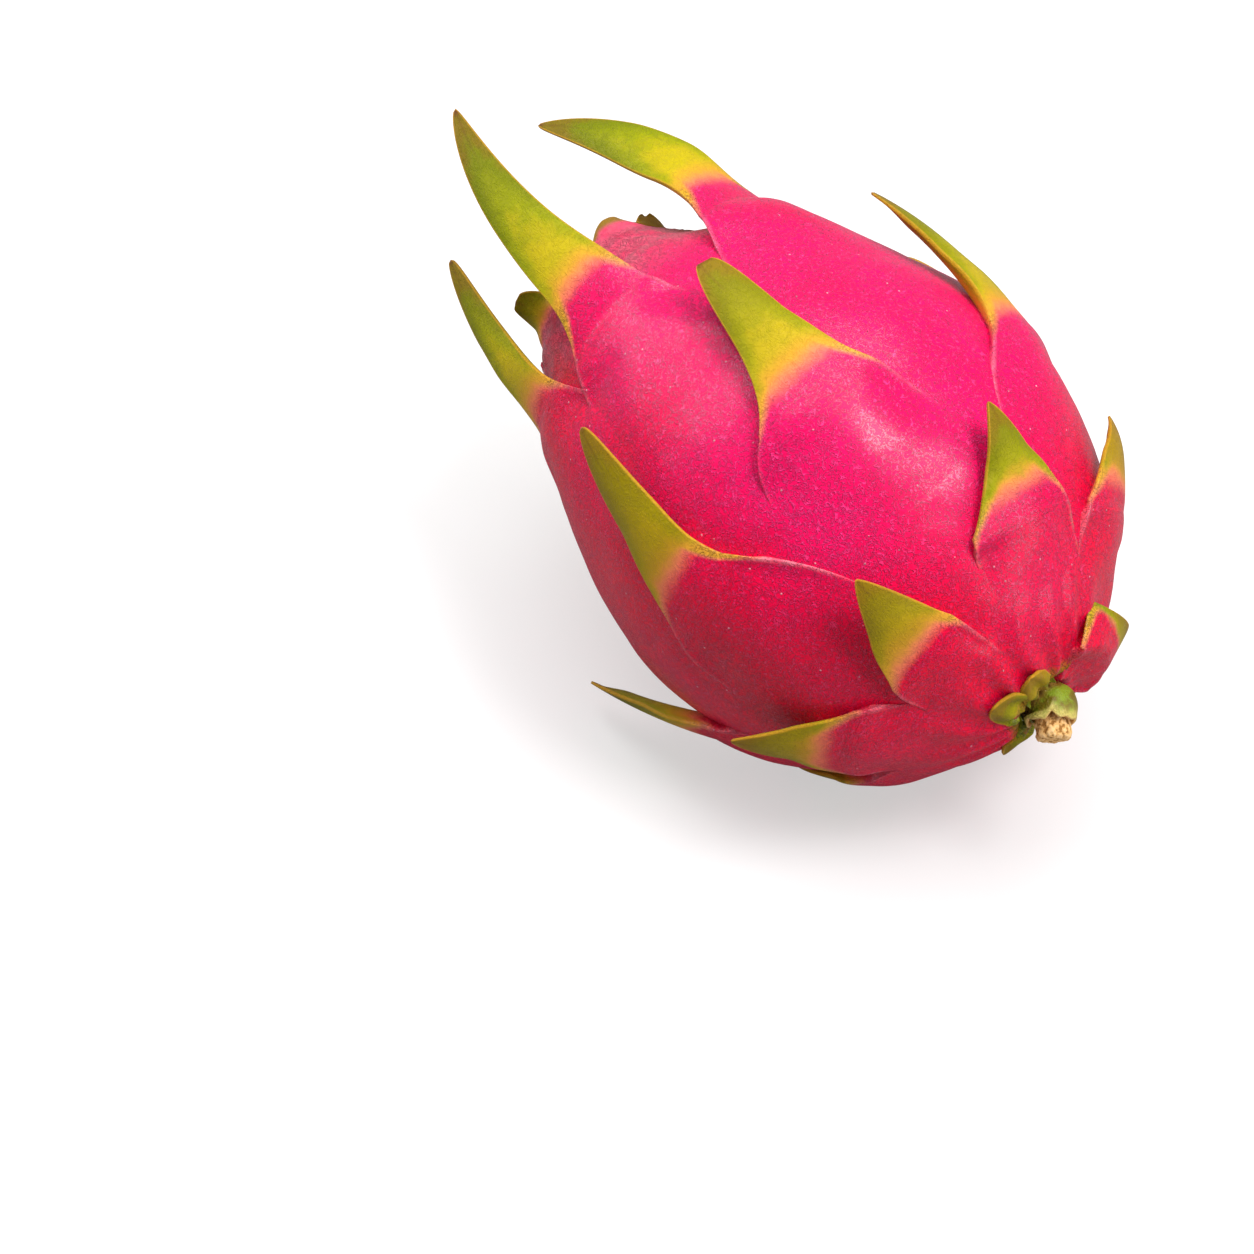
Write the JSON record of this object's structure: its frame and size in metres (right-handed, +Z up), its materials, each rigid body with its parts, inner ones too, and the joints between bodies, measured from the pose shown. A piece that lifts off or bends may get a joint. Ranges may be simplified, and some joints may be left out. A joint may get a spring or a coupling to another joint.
{
  "type": "dragon fruit",
  "caption": "Whole dragon fruit lying on its side: a plump pink body with long curved green-tipped bracts, a lipped hollow at the blossom end and a short cut stem.",
  "frame": {"origin": "on the table, at the flat spot the fruit rests on", "axes": "+Z up, away from the table; -X towards the blossom end with the longest bracts, +X towards the cut stem; -Y towards the front"},
  "size_m": [0.1539, 0.0975, 0.0984],
  "materials": {
    "skin": "waxy satin",
    "cut_stem": "rough matte"
  },
  "bodies": {
    "root": {"fruit": "skin", "stem_stub": "cut_stem"}
  },
  "joints": []
}
